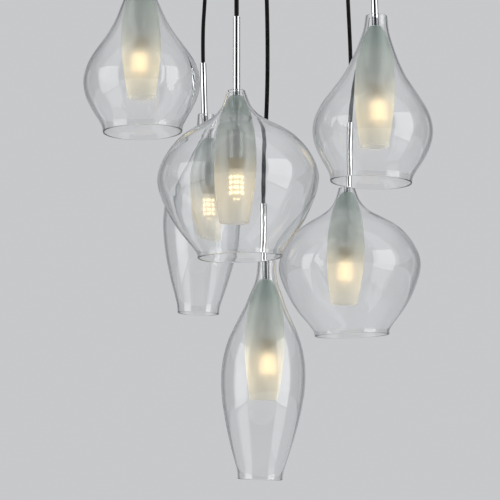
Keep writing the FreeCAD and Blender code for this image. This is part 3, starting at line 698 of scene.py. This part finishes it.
def turning_tree():
    """A closed outline in the XZ plane, turned about Z."""
    tree, given, result = new_group(
        "Turn an outline",
        "GeometryNodeTree",
        [
            ("Outline", "NodeSocketGeometry", None),
            ("Segments", "NodeSocketInt", 96),
            ("Top", "NodeSocketFloat", 0.0),
            ("Satin", "NodeSocketFloat", 0.0),
            ("Finish", "NodeSocketMaterial", None),
        ],
        [("Turned", "NodeSocketGeometry")],
    )
    as_curve = add_node(tree, "GeometryNodeMeshToCurve")
    place = add_node(tree, "GeometryNodeInputPosition")
    apart = add_node(tree, "ShaderNodeSeparateXYZ")
    inwards = add_node(tree, "ShaderNodeMath", operation="SUBTRACT")
    inwards.inputs[1].default_value = PATH_RADIUS
    over = add_node(tree, "ShaderNodeMath", operation="MULTIPLY")
    over.inputs[1].default_value = -1
    flat = add_node(tree, "ShaderNodeCombineXYZ")
    lay_down = add_node(tree, "GeometryNodeSetPosition")
    circle = add_node(tree, "GeometryNodeCurvePrimitiveCircle")
    circle.inputs["Radius"].default_value = PATH_RADIUS
    turn = add_node(tree, "GeometryNodeCurveToMesh")
    wire(tree, given.outputs["Outline"], as_curve.inputs["Mesh"])
    wire(tree, place.outputs["Position"], apart.inputs["Vector"])
    wire(tree, apart.outputs["X"], inwards.inputs[0])
    wire(tree, apart.outputs["Z"], over.inputs[0])
    wire(tree, inwards.outputs["Value"], flat.inputs["X"])
    wire(tree, over.outputs["Value"], flat.inputs["Y"])
    wire(tree, as_curve.outputs["Curve"], lay_down.inputs["Geometry"])
    wire(tree, flat.outputs["Vector"], lay_down.inputs["Position"])
    wire(tree, given.outputs["Segments"], circle.inputs["Resolution"])
    wire(tree, circle.outputs["Curve"], turn.inputs["Curve"])
    wire(tree, lay_down.outputs["Geometry"], turn.inputs["Profile Curve"])

    place_after = add_node(tree, "GeometryNodeInputPosition")
    apart_after = add_node(tree, "ShaderNodeSeparateXYZ")
    below = add_node(tree, "ShaderNodeMath", operation="SUBTRACT")
    store = add_node(tree, "GeometryNodeStoreNamedAttribute", data_type="FLOAT", domain="POINT")
    store.inputs["Name"].default_value = "depth"
    keep = add_node(tree, "GeometryNodeStoreNamedAttribute", data_type="FLOAT", domain="POINT")
    keep.inputs["Name"].default_value = "satin"
    smooth = add_node(tree, "GeometryNodeSetShadeSmooth")
    realize = add_node(tree, "GeometryNodeRealizeInstances")
    finish = add_node(tree, "GeometryNodeSetMaterial")
    wire(tree, place_after.outputs["Position"], apart_after.inputs["Vector"])
    wire(tree, given.outputs["Top"], below.inputs[0])
    wire(tree, apart_after.outputs["Z"], below.inputs[1])
    wire(tree, turn.outputs["Mesh"], store.inputs["Geometry"])
    wire(tree, below.outputs["Value"], store.inputs["Value"])
    wire(tree, store.outputs["Geometry"], keep.inputs["Geometry"])
    wire(tree, given.outputs["Satin"], keep.inputs["Value"])
    wire(tree, keep.outputs["Geometry"], smooth.inputs["Geometry"])
    wire(tree, smooth.outputs["Geometry"], realize.inputs["Geometry"])
    wire(tree, realize.outputs["Geometry"], finish.inputs["Geometry"])
    wire(tree, given.outputs["Finish"], finish.inputs["Material"])
    wire(tree, finish.outputs["Geometry"], result.inputs["Turned"])
    return tree


TURN_AN_OUTLINE = turning_tree()

# %% [markdown]
# The outline itself starts from a few measured widths. A natural cubic spline through them is the curve
# that a bent steel ruler would take, which is close to what surface tension gives hot glass. The wall
# is the same line moved inwards, and a half circle closes each rim, as fire polishing does.

# %% Outlines of the glass
RIM_STEPS = 8
RUN_STEPS = 9

# outer outline from the rim down, in millimetres: depth below the rim, radius
GLASS_OUTLINES = {
    "globe": [
        (0, 10.2), (8, 12.7), (16, 15.9), (26.7, 24.2), (38.7, 42.7), (50.6, 61.5), (73, 80.4),
        (98.5, 88.5), (120, 83.4), (143.6, 72.4), (165, 57), (176, 48.6), (180, 46.7), (184, 46.3),
    ],
    "drop": [
        (0, 12.6), (14.8, 14.4), (29.4, 18.6), (51.5, 27), (73.6, 38.2), (95.6, 53.3),
        (112, 63.3), (134, 69), (154.4, 65.2), (172, 56.2), (184, 49.2), (189, 47.3), (194, 46.9),
    ],
    "slim": [
        (0, 10.8), (12, 11.3), (24, 13.2), (35, 17.2), (46, 21.4), (58, 26.2), (72, 33), (92.4, 41.8),
        (128, 49), (164, 47.2), (200, 39.9), (236, 29.6), (246, 26.9), (254, 26.2),
    ],
    "diffuser": [
        (0, 6.2), (1, 7.6), (3, 9), (6, 10.5), (10, 12.4), (21.6, 16.8), (36, 20.2), (55, 22.7),
        (70, 23.5), (85, 23.3), (105, 21.5), (140, 16.5),
    ],
}
SHADE_WALL = 1.9
DIFFUSER_WALL = 2.0


def smooth_line(corners, steps):
    """Points on the natural cubic spline through the corners, each run cut into steps."""
    knots = np.array(corners, float)
    runs = np.linalg.norm(np.diff(knots, axis=0), axis=1)
    count = len(knots)
    system = np.eye(count)
    pull = np.zeros((count, 2))
    for k in range(1, count - 1):
        system[k, k - 1:k + 2] = runs[k - 1], 2 * (runs[k - 1] + runs[k]), runs[k]
        pull[k] = 6 * ((knots[k + 1] - knots[k]) / runs[k] - (knots[k] - knots[k - 1]) / runs[k - 1])
    bend = np.linalg.solve(system, pull)
    line = []
    for k, run in enumerate(runs):
        for step in range(steps):
            after = step / steps
            before = 1 - after
            cubic = (before**3 - before) * bend[k] + (after**3 - after) * bend[k + 1]
            line.append(before * knots[k] + after * knots[k + 1] + cubic * run**2 / 6)
    line.append(knots[-1])
    return np.array(line)


def walled_outline(corners, wall):
    """The closed outline of a wall: radius and height of each point, in metres, the rim at height 0."""
    line = smooth_line(corners, RUN_STEPS)
    outer = np.column_stack([line[:, 1], -line[:, 0]])
    along = np.gradient(outer, axis=0)
    along /= np.linalg.norm(along, axis=1)[:, None]
    into_wall = np.column_stack([along[:, 1], -along[:, 0]])
    inner = outer + into_wall * wall
    turns = np.linspace(0, math.pi, RIM_STEPS + 1)[1:-1]
    foot = [
        (outer[-1] + inner[-1]) / 2
        - into_wall[-1] * math.cos(turn) * wall / 2
        + along[-1] * math.sin(turn) * wall / 2
        for turn in turns
    ]
    top = [
        (outer[0] + inner[0]) / 2
        + into_wall[0] * math.cos(turn) * wall / 2
        - along[0] * math.sin(turn) * wall / 2
        for turn in turns
    ]
    return np.vstack([outer, foot, inner[::-1], top]) * MM


def turned_piece(name, outline, segments, top, satin, finish):
    """A piece turned from a closed outline of radius and height."""
    mesh = bpy.data.meshes.new(name)
    count = len(outline)
    corners = [(radius, 0, height) for radius, height in outline]
    mesh.from_pydata(corners, [(k, (k + 1) % count) for k in range(count)], [])
    piece = bpy.data.objects.new(name, mesh)
    bpy.context.scene.collection.objects.link(piece)
    apply_tree(piece, TURN_AN_OUTLINE, Segments=segments, Top=top, Satin=satin, Finish=finish)
    outwards(piece.data)
    piece.data.name = name
    return piece


# %% [markdown]
# Now the glasses are put in place. A shade isn't fixed: it rests by its neck on the shoulder of the inner
# glass, so each leans its own small way about that seat, and so does each inner glass about its top.
# The turning and the place go into the mesh, and the object stays at the origin.

# %% Shades and inner glasses
SHADE_SEGMENTS = 128
DIFFUSER_SEGMENTS = 96
SHADE_RISES = {"globe": 5.6, "drop": 12, "slim": 21.8}
SHADE_SEATS = {"globe": 12, "drop": 20, "slim": 20}
SHADE_LEANS = {1: 1.4, 2: -2.0, 3: 1.4, 4: -1.9, 5: -2.4, 6: 1.6}
DIFFUSER_LEANS = {1: 1.0, 2: 0.5, 3: -1.0, 4: -1.1, 5: -1.1, 6: -1.9}
DIFFUSER_SATINS = {1: 0.74, 2: 0.36, 3: 0.34, 4: 0.76, 5: 0.74, 6: 0.68}


def lean(degrees):
    """A turn in the XZ plane that takes the bottom towards +X."""
    return Matrix.Rotation(math.radians(-degrees), 4, "Y")


def shade(number):
    """The clear outer shade of a pendant, leaning about its seat."""
    kind = SHADE_KINDS[number]
    outline = walled_outline(GLASS_OUTLINES[kind], SHADE_WALL)
    piece = turned_piece(
        f"blown_shade_{number}", outline, SHADE_SEGMENTS, 0.0, 0.0, FINISHES["clear_glass"]
    )
    seat = Matrix.Translation(datum[number] - Vector((0, 0, SHADE_SEATS[kind] * MM)))
    above_seat = Matrix.Translation((0, 0, (SHADE_RISES[kind] + SHADE_SEATS[kind]) * MM))
    piece.data.transform(seat @ lean(SHADE_LEANS[number]) @ above_seat)
    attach(piece, f"glass_{number}")
    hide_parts(f"shade_{number}")
    return piece


def diffuser(number):
    """The frosted inner glass of a pendant, leaning about its top."""
    outline = walled_outline(GLASS_OUTLINES["diffuser"], DIFFUSER_WALL)
    piece = turned_piece(
        f"satin_diffuser_{number}",
        outline,
        DIFFUSER_SEGMENTS,
        0.0,
        DIFFUSER_SATINS[number],
        FINISHES["frosted_glass"],
    )
    piece.data.transform(Matrix.Translation(datum[number]) @ lean(DIFFUSER_LEANS[number]))
    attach(piece, f"pendant_{number}")
    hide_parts(f"diffuser_{number}")
    return piece


for i in PENDANTS:
    outer_glass = shade(i)
    inner_glass = diffuser(i)
    print(f"pendant {i}: {len(outer_glass.data.polygons)} and {len(inner_glass.data.polygons)} faces")

# %% [markdown]
# ## Chips of the lamps
# The lamp is a six-sided column with two upright rows of chips on each side and four chips under its
# tip. A tree makes one chip with rounded corners, sets it out in columns and rows on one side, and then
# sets that side out round the column.

# %% The chip tree
CORNER_POINTS = 2
FOOT_CHIPS = 4
FOOT_CHIP_SCALE = (0.8, 0.7, 1)


def chip_tree():
    """Rounded chips in columns and rows on each side of a prism, and a ring of them under its foot."""
    tree, given, result = new_group(
        "Chips on a column",
        "GeometryNodeTree",
        [
            ("Geometry", "NodeSocketGeometry", None),
            ("Sides", "NodeSocketInt", 6),
            ("Columns", "NodeSocketInt", 2),
            ("Rows", "NodeSocketInt", 4),
            ("Side distance", "NodeSocketFloat", 0.0068),
            ("Row spacing", "NodeSocketFloat", 0.0056),
            ("Column spacing", "NodeSocketFloat", 0.0032),
            ("Chip width", "NodeSocketFloat", 0.0023),
            ("Chip height", "NodeSocketFloat", 0.0031),
            ("Chip thickness", "NodeSocketFloat", 0.0006),
            ("Corner radius", "NodeSocketFloat", 0.0005),
            ("First row", "NodeSocketFloat", -0.09),
            ("Foot", "NodeSocketFloat", -0.115),
            ("Foot ring", "NodeSocketFloat", 0.003),
            ("Finish", "NodeSocketMaterial", None),
        ],
        [("Chips", "NodeSocketGeometry")],
    )
    tile = add_node(tree, "GeometryNodeCurvePrimitiveQuadrilateral")
    wire(tree, given.outputs["Chip width"], tile.inputs["Width"])
    wire(tree, given.outputs["Chip height"], tile.inputs["Height"])
    round_off = add_node(tree, "GeometryNodeFilletCurve", mode="POLY")
    round_off.inputs["Count"].default_value = CORNER_POINTS
    wire(tree, given.outputs["Corner radius"], round_off.inputs["Radius"])
    wire(tree, tile.outputs["Curve"], round_off.inputs["Curve"])
    fill = add_node(tree, "GeometryNodeFillCurve", mode="NGONS")
    wire(tree, round_off.outputs["Curve"], fill.inputs["Curve"])
    thicken = add_node(tree, "GeometryNodeExtrudeMesh")
    thicken.inputs["Individual"].default_value = False
    wire(tree, fill.outputs["Mesh"], thicken.inputs["Mesh"])
    wire(tree, given.outputs["Chip thickness"], thicken.inputs["Offset Scale"])
    chip = add_node(tree, "GeometryNodeJoinGeometry")
    wire(tree, fill.outputs["Mesh"], chip.inputs["Geometry"])
    wire(tree, thicken.outputs["Mesh"], chip.inputs["Geometry"])

    # a grid of points gives the columns and rows of one side
    rows_less_one = add_node(tree, "ShaderNodeMath", operation="SUBTRACT")
    rows_less_one.inputs[1].default_value = 1
    wire(tree, given.outputs["Rows"], rows_less_one.inputs[0])
    row_span = add_node(tree, "ShaderNodeMath", operation="MULTIPLY")
    wire(tree, rows_less_one.outputs["Value"], row_span.inputs[0])
    wire(tree, given.outputs["Row spacing"], row_span.inputs[1])
    grid = add_node(tree, "GeometryNodeMeshGrid")
    wire(tree, given.outputs["Columns"], grid.inputs["Vertices X"])
    wire(tree, given.outputs["Column spacing"], grid.inputs["Size X"])
    wire(tree, row_span.outputs["Value"], grid.inputs["Size Y"])
    wire(tree, given.outputs["Rows"], grid.inputs["Vertices Y"])
    side_chips = add_node(tree, "GeometryNodeInstanceOnPoints")
    wire(tree, grid.outputs["Mesh"], side_chips.inputs["Points"])
    wire(tree, chip.outputs["Geometry"], side_chips.inputs["Instance"])

    # stand the side up, facing out along +X, with its middle at its distance and height
    half_rows = add_node(tree, "ShaderNodeMath", operation="MULTIPLY")
    half_rows.inputs[1].default_value = 0.5
    middle = add_node(tree, "ShaderNodeMath", operation="SUBTRACT")
    stand = add_node(tree, "ShaderNodeCombineXYZ")
    wire(tree, row_span.outputs["Value"], half_rows.inputs[0])
    wire(tree, given.outputs["First row"], middle.inputs[0])
    wire(tree, half_rows.outputs["Value"], middle.inputs[1])
    wire(tree, given.outputs["Side distance"], stand.inputs["X"])
    wire(tree, middle.outputs["Value"], stand.inputs["Z"])
    upright = add_node(tree, "GeometryNodeTransform")
    upright.inputs["Rotation"].default_value = (math.pi / 2, 0, math.pi / 2)
    wire(tree, side_chips.outputs["Instances"], upright.inputs["Geometry"])
    wire(tree, stand.outputs["Vector"], upright.inputs["Translation"])

    # one point for each side, all on the axis, each turned its share of a circle
    sides = add_node(tree, "GeometryNodeMeshLine")
    sides.inputs["Offset"].default_value = (0, 0, 0)
    wire(tree, given.outputs["Sides"], sides.inputs["Count"])
    index = add_node(tree, "GeometryNodeInputIndex")
    share = add_node(tree, "ShaderNodeMath", operation="DIVIDE")
    wire(tree, index.outputs["Index"], share.inputs[0])
    wire(tree, given.outputs["Sides"], share.inputs[1])
    angle = add_node(tree, "ShaderNodeMath", operation="MULTIPLY_ADD")
    angle.inputs[1].default_value = 2 * math.pi
    angle.inputs[2].default_value = -math.pi / 2
    wire(tree, share.outputs["Value"], angle.inputs[0])
    turned = add_node(tree, "ShaderNodeCombineXYZ")
    wire(tree, angle.outputs["Value"], turned.inputs["Z"])
    round_column = add_node(tree, "GeometryNodeInstanceOnPoints")
    wire(tree, sides.outputs["Mesh"], round_column.inputs["Points"])
    wire(tree, upright.outputs["Geometry"], round_column.inputs["Instance"])
    wire(tree, turned.outputs["Vector"], round_column.inputs["Rotation"])

    # the chips under the foot, facing down
    foot_circle = add_node(tree, "GeometryNodeMeshCircle")
    foot_circle.inputs["Vertices"].default_value = FOOT_CHIPS
    wire(tree, given.outputs["Foot ring"], foot_circle.inputs["Radius"])
    foot_chips = add_node(tree, "GeometryNodeInstanceOnPoints")
    foot_chips.inputs["Rotation"].default_value = (math.pi, 0, 0)
    foot_chips.inputs["Scale"].default_value = FOOT_CHIP_SCALE
    wire(tree, foot_circle.outputs["Mesh"], foot_chips.inputs["Points"])
    wire(tree, chip.outputs["Geometry"], foot_chips.inputs["Instance"])
    foot_place = add_node(tree, "ShaderNodeCombineXYZ")
    wire(tree, given.outputs["Foot"], foot_place.inputs["Z"])
    under = add_node(tree, "GeometryNodeTransform")
    under.inputs["Rotation"].default_value = (0, 0, math.pi / 4)
    wire(tree, foot_chips.outputs["Instances"], under.inputs["Geometry"])
    wire(tree, foot_place.outputs["Vector"], under.inputs["Translation"])

    together = add_node(tree, "GeometryNodeJoinGeometry")
    realize = add_node(tree, "GeometryNodeRealizeInstances")
    finish = add_node(tree, "GeometryNodeSetMaterial")
    wire(tree, round_column.outputs["Instances"], together.inputs["Geometry"])
    wire(tree, under.outputs["Geometry"], together.inputs["Geometry"])
    wire(tree, together.outputs["Geometry"], realize.inputs["Geometry"])
    wire(tree, realize.outputs["Geometry"], finish.inputs["Geometry"])
    wire(tree, given.outputs["Finish"], finish.inputs["Material"])
    wire(tree, finish.outputs["Geometry"], result.inputs["Chips"])
    return tree


CHIPS_ON_A_COLUMN = chip_tree()

# %% Chips
COLUMN_TOP = 86.3 * MM
COLUMN_HEIGHT = 26.5 * MM
COLUMN_SIDE_DISTANCE = 6.75 * MM
TIP_HEIGHT = 1.2 * MM
FIRST_ROW = 4.6 * MM
ROW_SPACING = 5.7 * MM


def in_core(number):
    """From a pendant's own coordinates, with Z along its stem, to the room's."""
    tilt = Vector((0, 0, 1)).rotation_difference(stem_axis[number]).to_matrix().to_4x4()
    return Matrix.Translation(datum[number]) @ tilt


for i in PENDANTS:
    chips = bpy.data.objects.new(f"lamp_chips_{i}", bpy.data.meshes.new(f"lamp_chips_{i}"))
    bpy.context.scene.collection.objects.link(chips)
    apply_tree(
        chips,
        CHIPS_ON_A_COLUMN,
        Side_distance=COLUMN_SIDE_DISTANCE,
        Row_spacing=ROW_SPACING,
        First_row=-(COLUMN_TOP + FIRST_ROW),
        Foot=-(COLUMN_TOP + COLUMN_HEIGHT + TIP_HEIGHT),
        Finish=CHIP_PHOSPHOR,
    )
    outwards(chips.data)
    chips.data.transform(in_core(i))
    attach(chips, f"bulb_{i}")
    print(f"lamp {i}: {len(chips.data.polygons)} chip faces")

# %% [markdown]
# ## Room
# The background is plain and pale for the camera and for what is seen through glass, and diffuse light is
# even. Mirrored rays meet a room of their own, made of upright bands: dark behind the camera, lit walls to
# its left and right, and dark again beyond them. A round stem or the edge of a glass mirrors all of these
# side by side, which gives the black middle, white bars and dark edges of chrome and the grey outline of
# a shade. Straight up and straight down it is half lit.

# %% World
PALE = (0.575, 0.58, 0.595, 1)
DARK = (0.03, 0.034, 0.038, 1)
LIT_WALL = (1.05, 1.06, 1.09, 1)
EVEN_LIGHT = (0.42, 0.42, 0.43, 1)
SEEN_RAYS = ("Is Camera Ray", "Is Transmission Ray", "Is Glossy Ray")

# from the camera's side, 0, round to the far side, 1: how much of the lit wall a mirrored ray meets
BRIGHT_ROUND = [(0.0, 0), (0.117, 0), (0.16, 1), (0.41, 1), (0.48, 0.08), (0.90, 0.10), (0.96, 0.4)]
BRIGHT_OVERHEAD = 0.5
OVERHEAD_FROM = 0.45
OVERHEAD_FULL = 0.85


def lit_share(room):
    """How much of the lit wall lies in a ray's direction."""
    direction = room.nodes.new("ShaderNodeTexCoord")
    level = add_node(room, "ShaderNodeVectorMath", operation="MULTIPLY")
    level.inputs[1].default_value = (1, 1, 0)
    unit = add_node(room, "ShaderNodeVectorMath", operation="NORMALIZE")
    bearing = room.nodes.new("ShaderNodeSeparateXYZ")
    round_share = add_node(room, "ShaderNodeMapRange")
    round_share.inputs["From Min"].default_value = -1
    round_room = room.nodes.new("ShaderNodeValToRGB")
    set_stops(round_room, [(place, (share, share, share, 1)) for place, share in BRIGHT_ROUND])
    wire(room, direction.outputs["Generated"], level.inputs[0])
    wire(room, level.outputs["Vector"], unit.inputs[0])
    wire(room, unit.outputs["Vector"], bearing.inputs["Vector"])
    wire(room, bearing.outputs["Y"], round_share.inputs["Value"])
    wire(room, round_share.outputs["Result"], round_room.inputs["Fac"])

    height = room.nodes.new("ShaderNodeSeparateXYZ")
    off_level = add_node(room, "ShaderNodeMath", operation="ABSOLUTE")
    overhead = add_node(room, "ShaderNodeMapRange", interpolation_type="SMOOTHSTEP")
    overhead.inputs["From Min"].default_value = OVERHEAD_FROM
    overhead.inputs["From Max"].default_value = OVERHEAD_FULL
    overhead.inputs["To Max"].default_value = BRIGHT_OVERHEAD
    lit = add_node(room, "ShaderNodeMath", operation="MAXIMUM")
    wire(room, direction.outputs["Generated"], height.inputs["Vector"])
    wire(room, height.outputs["Z"], off_level.inputs[0])
    wire(room, off_level.outputs["Value"], overhead.inputs["Value"])
    wire(room, round_room.outputs["Color"], lit.inputs[0])
    wire(room, overhead.outputs["Result"], lit.inputs[1])
    return lit.outputs["Value"]


def studio():
    """The world: a pale background, even light, and a room that only mirrored rays meet."""
    world = bpy.data.worlds.new("studio")
    bpy.context.scene.world = world
    world.use_nodes = True
    room = world.node_tree
    wall_in, wall_out = mix_colours(room, DARK, LIT_WALL)
    wire(room, lit_share(room), wall_in[0])

    # a ray that was mirrored before it went through glass still meets the mirrored room
    rays = room.nodes.new("ShaderNodeLightPath")
    was_mirrored = add_node(room, "ShaderNodeMath", operation="MINIMUM")
    was_mirrored.inputs[1].default_value = 1
    wire(room, rays.outputs["Glossy Depth"], was_mirrored.inputs[0])
    met_in, met_out = mix_colours(room, PALE)
    wire(room, was_mirrored.outputs["Value"], met_in[0])
    wire(room, wall_out, met_in[2])

    sky_in, sky_out = mix_colours(room, EVEN_LIGHT)
    wire(room, any_ray(room, SEEN_RAYS), sky_in[0])
    wire(room, met_out, sky_in[2])
    wire(room, sky_out, room.nodes["Background"].inputs["Color"])


studio()

# %% [markdown]
# Two large softboxes stand in front, one to each side, and two narrow ones behind. They light the frosted
# glass and give every shade the window-like reflections that the photograph shows. Each front one has a
# second, dimmer part below it, so that its reflection has a cross bar and a foot, as a window has.

# %% Softboxes
SOFTBOX_COLOUR = (1.0, 0.99, 0.98)
SOFTBOXES = [
    # bearing from the camera's side towards +X, distance, width, height, middle, power
    (58, 1.9, 1.30, 1.92, -0.31, 27),
    (58, 1.9, 1.22, 0.64, -1.63, 2.4),
    (-66, 1.9, 1.50, 1.60, -0.35, 21),
    (-66, 1.9, 1.42, 0.85, -1.63, 4.5),
    (122, 2.1, 0.35, 1.4, -0.32, 1.0),
    (-122, 2.1, 0.35, 1.4, -0.32, 1.0),
]


def softbox(name, bearing, distance, width, height, middle, power):
    """An upright lit panel that faces the cluster."""
    light = bpy.data.lights.new(name, "AREA")
    light.shape = "RECTANGLE"
    light.size = width
    light.size_y = height
    light.energy = power
    light.color = SOFTBOX_COLOUR
    box = bpy.data.objects.new(name, light)
    angle = math.radians(bearing)
    box.location = (distance * math.sin(angle), -distance * math.cos(angle), middle)
    box.rotation_euler = (math.radians(90), 0, angle)
    box.visible_camera = False
    box.visible_transmission = False
    bpy.context.scene.collection.objects.link(box)


for number, sizes in enumerate(SOFTBOXES, start=1):
    softbox(f"softbox_{number}", *sizes)

# %% [markdown]
# A plain pale floor lies well below the pendants. It looks like the background to the eye and to mirrored
# and transmitted rays. Part of its colour is a faint glow and the rest real diffuse paint, which keeps the
# shadow. From below it is open, because a ceiling lamp is mostly looked at from there.

# %% Floor
FLOOR_LEVEL = -2.2
FLOOR_RADIUS = 9
FLOOR_SEGMENTS = 96
FLOOR_PAINT = (0.58, 0.585, 0.60, 1)
FLOOR_GLOW = (0.30, 0.305, 0.315, 1)


def floor_finish():
    """Pale floor that matches the background."""
    material, tree, shader = new_material(
        "pale_floor",
        Base_Color=FLOOR_PAINT,
        Roughness=0.8,
        Specular_IOR_Level=0.1,
        Emission_Strength=1.0,
    )
    glow_in, glow_out = mix_colours(tree, (0, 0, 0, 1), FLOOR_GLOW)
    wire(tree, any_ray(tree, SEEN_RAYS), glow_in[0])
    wire(tree, glow_out, shader.inputs["Emission Color"])
    side = tree.nodes.new("ShaderNodeNewGeometry")
    open_below = tree.nodes.new("ShaderNodeBsdfTransparent")
    one_sided = tree.nodes.new("ShaderNodeMixShader")
    wire(tree, side.outputs["Backfacing"], one_sided.inputs["Fac"])
    wire(tree, shader.outputs["BSDF"], one_sided.inputs[1])
    wire(tree, open_below.outputs["BSDF"], one_sided.inputs[2])
    wire(tree, one_sided.outputs["Shader"], tree.nodes["Material Output"].inputs["Surface"])
    return material


floor_mesh = bpy.data.meshes.new("floor")
floor_work = bmesh.new()
bmesh.ops.create_circle(floor_work, cap_ends=True, radius=FLOOR_RADIUS, segments=FLOOR_SEGMENTS)
floor_work.to_mesh(floor_mesh)
floor_work.free()
floor_mesh.transform(Matrix.Translation((0, 0, FLOOR_LEVEL)))
floor_mesh.materials.append(floor_finish())
floor = bpy.data.objects.new("floor", floor_mesh)
bpy.context.scene.collection.objects.link(floor)
